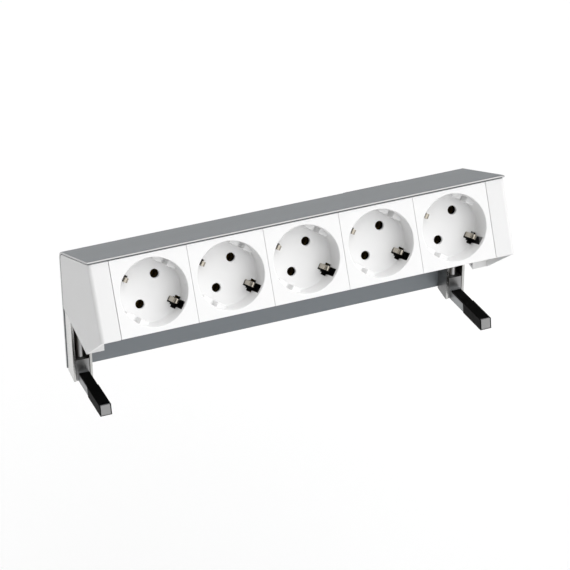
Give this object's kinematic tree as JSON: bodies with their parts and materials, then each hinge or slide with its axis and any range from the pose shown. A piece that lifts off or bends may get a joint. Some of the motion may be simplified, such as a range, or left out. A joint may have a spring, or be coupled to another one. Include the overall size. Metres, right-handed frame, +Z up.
{
  "type": "desk power strip",
  "caption": "Desk-edge power strip with a sloped row of earthed sockets under an aluminium cover, held to the desk by two screw-driven clamp jaws.",
  "frame": {"origin": "on the desk top at the desk's rear edge, midway along the strip", "axes": "+X along the strip to the right as seen from the sockets' side, +Y to the rear, +Z up"},
  "size_m": [0.249, 0.0848, 0.1182],
  "materials": {
    "aluminium_profile": "satin, natural anodised",
    "white_plastic": "smooth satin",
    "grey_plastic": "matt",
    "black_plastic": "fine matt grain",
    "nickel_plate": "bright nickel plate",
    "brass_strip": "stamped strip",
    "cast_zinc": "silver coated die casting",
    "steel": "zinc plated",
    "rubber": "matt black",
    "brown_wire": "insulation",
    "blue_wire": "insulation",
    "green_wire": "insulation"
  },
  "bodies": {
    "power_strip": {"cover_profile": "aluminium_profile", "module_carrier": "aluminium_profile", "bottom_cover": "grey_plastic", "end_cap_left": "white_plastic", "end_cap_right": "white_plastic", "socket_insert_1": "white_plastic", "socket_insert_2": "white_plastic", "socket_insert_3": "white_plastic", "socket_insert_4": "white_plastic", "socket_insert_5": "white_plastic", "contact_housing_1": "black_plastic", "contact_housing_2": "black_plastic", "contact_housing_3": "black_plastic", "contact_housing_4": "black_plastic", "contact_housing_5": "black_plastic", "earth_contact_1": "nickel_plate", "earth_contact_2": "nickel_plate", "earth_contact_3": "nickel_plate", "earth_contact_4": "nickel_plate", "earth_contact_5": "nickel_plate", "line_busbar": "brass_strip", "neutral_busbar": "brass_strip", "earth_busbar": "brass_strip", "wire_line": "brown_wire", "wire_neutral": "blue_wire", "wire_earth": "green_wire", "supply_inlet": "black_plastic", "inlet_pin_line": "nickel_plate", "inlet_pin_neutral": "nickel_plate", "inlet_pin_earth": "nickel_plate", "clamp_leg_left": "cast_zinc", "leg_screw_left_upper": "steel", "leg_screw_left_lower": "steel", "cover_screw_left": "steel", "clamp_leg_right": "cast_zinc", "leg_screw_right_upper": "steel", "leg_screw_right_lower": "steel", "cover_screw_right": "steel"},
    "left_jaw": {"clamp_jaw_left": "cast_zinc", "jaw_sleeve_left": "rubber"},
    "left_spindle": {"clamp_spindle_left": "steel", "spindle_ring_left": "steel"},
    "right_jaw": {"clamp_jaw_right": "cast_zinc", "jaw_sleeve_right": "rubber"},
    "right_spindle": {"clamp_spindle_right": "steel", "spindle_ring_right": "steel"}
  },
  "joints": [
    {"name": "left_jaw_slide", "type": "slide", "parent": "power_strip", "child": "left_jaw", "axis": [0, 0, 1], "range_m": [0, 0.024]},
    {"name": "left_spindle_turn", "type": "hinge", "parent": "power_strip", "child": "left_spindle", "pos_m": [-0.11825, 0.0056, -0.02], "axis": [0, 0, 1], "range_deg": [0, 10801]},
    {"name": "right_jaw_slide", "type": "slide", "parent": "power_strip", "child": "right_jaw", "axis": [0, 0, 1], "range_m": [0, 0.024]},
    {"name": "right_spindle_turn", "type": "hinge", "parent": "power_strip", "child": "right_spindle", "pos_m": [0.11825, 0.0056, -0.02], "axis": [0, 0, 1], "range_deg": [0, 10801]}
  ],
  "couplings": [
    {"joint": "left_spindle_turn", "follows": "left_jaw_slide", "rad_per_m": 7854},
    {"joint": "right_spindle_turn", "follows": "right_jaw_slide", "rad_per_m": 7854}
  ]
}
